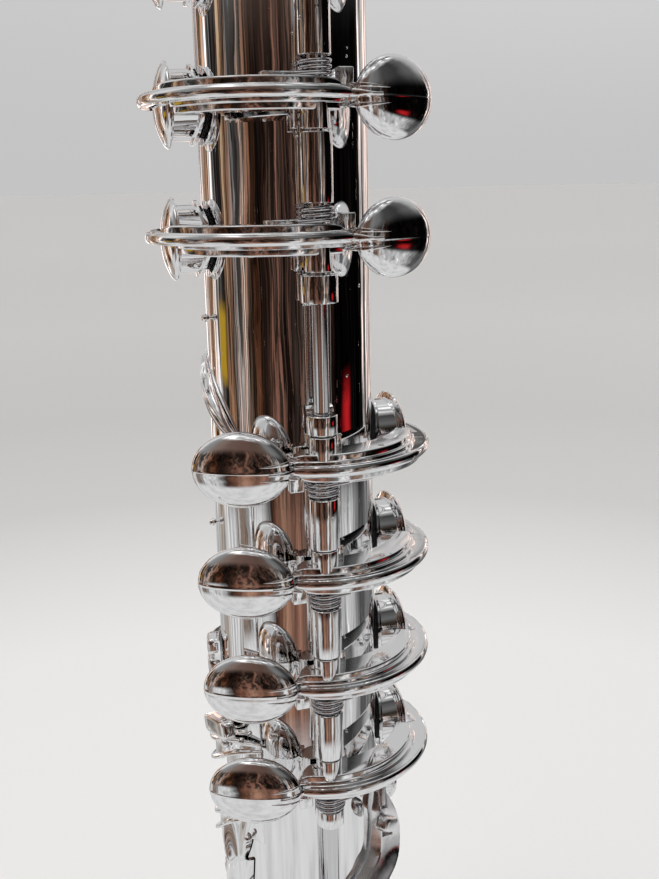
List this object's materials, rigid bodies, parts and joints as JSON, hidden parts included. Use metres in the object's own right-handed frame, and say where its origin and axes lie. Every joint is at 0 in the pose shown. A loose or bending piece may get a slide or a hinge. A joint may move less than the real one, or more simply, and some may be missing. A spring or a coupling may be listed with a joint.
{
  "type": "piccolo",
  "caption": "Chrome wind instrument tube standing on its foot, with crescent lever keys turning on one long rod and short side keys.",
  "frame": {"origin": "on the tube's axis, in the plane of the foot's flat end face", "axes": "+Z along the tube from the foot to the crown, -Y towards the side that carries the key rod, +X to the right seen from that side"},
  "size_m": [0.0355, 0.0302, 0.32],
  "materials": {
    "chrome": "polished",
    "steel": "polished",
    "felt": "matte",
    "cork": "matte",
    "brass": "satin"
  },
  "bodies": {
    "instrument": {"body_tube": "chrome", "head_tube": "chrome", "tenon_cork": "cork", "lip_plate": "chrome", "crown": "chrome", "stopper_stem": "brass", "stopper_cork": "cork", "socket_ring": "chrome", "foot_ring": "chrome", "hinge_rod": "steel", "post_top": "chrome", "post_upper_end": "chrome", "post_lower_start": "chrome", "post_lower_end": "chrome", "post_foot": "chrome", "side_rod": "steel", "side_post_top": "chrome", "side_post_middle": "chrome", "side_post_bottom": "chrome"},
    "key_1": {"lever_1": "chrome", "pad_cup_1": "chrome", "pad_1": "felt", "spring_1": "steel", "hinge_tube_1": "chrome"},
    "key_2": {"lever_2": "chrome", "pad_cup_2": "chrome", "pad_2": "felt", "spring_2": "steel", "hinge_tube_2": "chrome"},
    "key_3": {"lever_3": "chrome", "pad_cup_3": "chrome", "pad_3": "felt", "spring_3": "steel"},
    "key_4": {"lever_4": "chrome", "pad_cup_4": "chrome", "pad_4": "felt", "spring_4": "steel"},
    "key_5": {"lever_5": "chrome", "pad_cup_5": "chrome", "pad_5": "felt", "spring_5": "steel", "hinge_tube_5": "chrome"},
    "key_6": {"lever_6": "chrome", "pad_cup_6": "chrome", "pad_6": "felt", "spring_6": "steel", "hinge_tube_6": "chrome"},
    "key_7": {"lever_7": "chrome", "pad_cup_7": "chrome", "pad_7": "felt", "spring_7": "steel", "hinge_tube_7": "chrome"},
    "foot_key": {"foot_lever": "chrome", "foot_pad_cup": "chrome", "foot_pad": "felt", "foot_spring": "steel"},
    "side_1": {"side_key_1": "chrome"},
    "side_2": {"side_key_2": "chrome"},
    "side_3": {"side_key_3": "chrome"},
    "side_4": {"side_key_4": "chrome"}
  },
  "joints": [
    {"name": "key_1_hinge", "type": "hinge", "parent": "instrument", "child": "key_1", "pos_m": [0.00362, -0.01276, 0.17615], "axis": [0, 0, 1], "range_deg": [0, 8], "stiffness_Nm_per_rad": 0.02, "springref_deg": -17.19},
    {"name": "key_2_hinge", "type": "hinge", "parent": "instrument", "child": "key_2", "pos_m": [0.00362, -0.01276, 0.1604], "axis": [0, 0, 1], "range_deg": [0, 8], "stiffness_Nm_per_rad": 0.02, "springref_deg": -17.19},
    {"name": "key_3_hinge", "type": "hinge", "parent": "instrument", "child": "key_3", "pos_m": [0.00362, -0.01276, 0.14465], "axis": [0, 0, 1], "range_deg": [0, 8], "stiffness_Nm_per_rad": 0.02, "springref_deg": -17.19},
    {"name": "key_4_hinge", "type": "hinge", "parent": "instrument", "child": "key_4", "pos_m": [0.00362, -0.01276, 0.1211], "axis": [0, 0, -1], "range_deg": [0, 8], "stiffness_Nm_per_rad": 0.02, "springref_deg": -17.19},
    {"name": "key_5_hinge", "type": "hinge", "parent": "instrument", "child": "key_5", "pos_m": [0.00362, -0.01276, 0.10663], "axis": [0, 0, -1], "range_deg": [0, 8], "stiffness_Nm_per_rad": 0.02, "springref_deg": -17.19},
    {"name": "key_6_hinge", "type": "hinge", "parent": "instrument", "child": "key_6", "pos_m": [0.00362, -0.01276, 0.09216], "axis": [0, 0, -1], "range_deg": [0, 8], "stiffness_Nm_per_rad": 0.02, "springref_deg": -17.19},
    {"name": "key_7_hinge", "type": "hinge", "parent": "instrument", "child": "key_7", "pos_m": [0.00362, -0.01276, 0.07769], "axis": [0, 0, -1], "range_deg": [0, 8], "stiffness_Nm_per_rad": 0.02, "springref_deg": -17.19},
    {"name": "foot_key_hinge", "type": "hinge", "parent": "instrument", "child": "foot_key", "pos_m": [0.00362, -0.01276, 0.05], "axis": [0, 0, -1], "range_deg": [0, 8], "stiffness_Nm_per_rad": 0.02, "springref_deg": -17.19},
    {"name": "side_key_1_hinge", "type": "hinge", "parent": "instrument", "child": "side_1", "pos_m": [-0.00993, 0.00776, 0.131], "axis": [0, 0, -1], "range_deg": [0, 2.5], "stiffness_Nm_per_rad": 0.02, "springref_deg": -17.19},
    {"name": "side_key_2_hinge", "type": "hinge", "parent": "instrument", "child": "side_2", "pos_m": [-0.00993, 0.00776, 0.0886], "axis": [0, 0, -1], "range_deg": [0, 4], "stiffness_Nm_per_rad": 0.02, "springref_deg": -17.19},
    {"name": "side_key_3_hinge", "type": "hinge", "parent": "instrument", "child": "side_3", "pos_m": [-0.00993, 0.00776, 0.075], "axis": [0, 0, -1], "range_deg": [0, 4], "stiffness_Nm_per_rad": 0.02, "springref_deg": -17.19},
    {"name": "side_key_4_hinge", "type": "hinge", "parent": "instrument", "child": "side_4", "pos_m": [-0.00993, 0.00776, 0.059], "axis": [0, 0, -1], "range_deg": [0, 4], "stiffness_Nm_per_rad": 0.02, "springref_deg": -17.19}
  ]
}
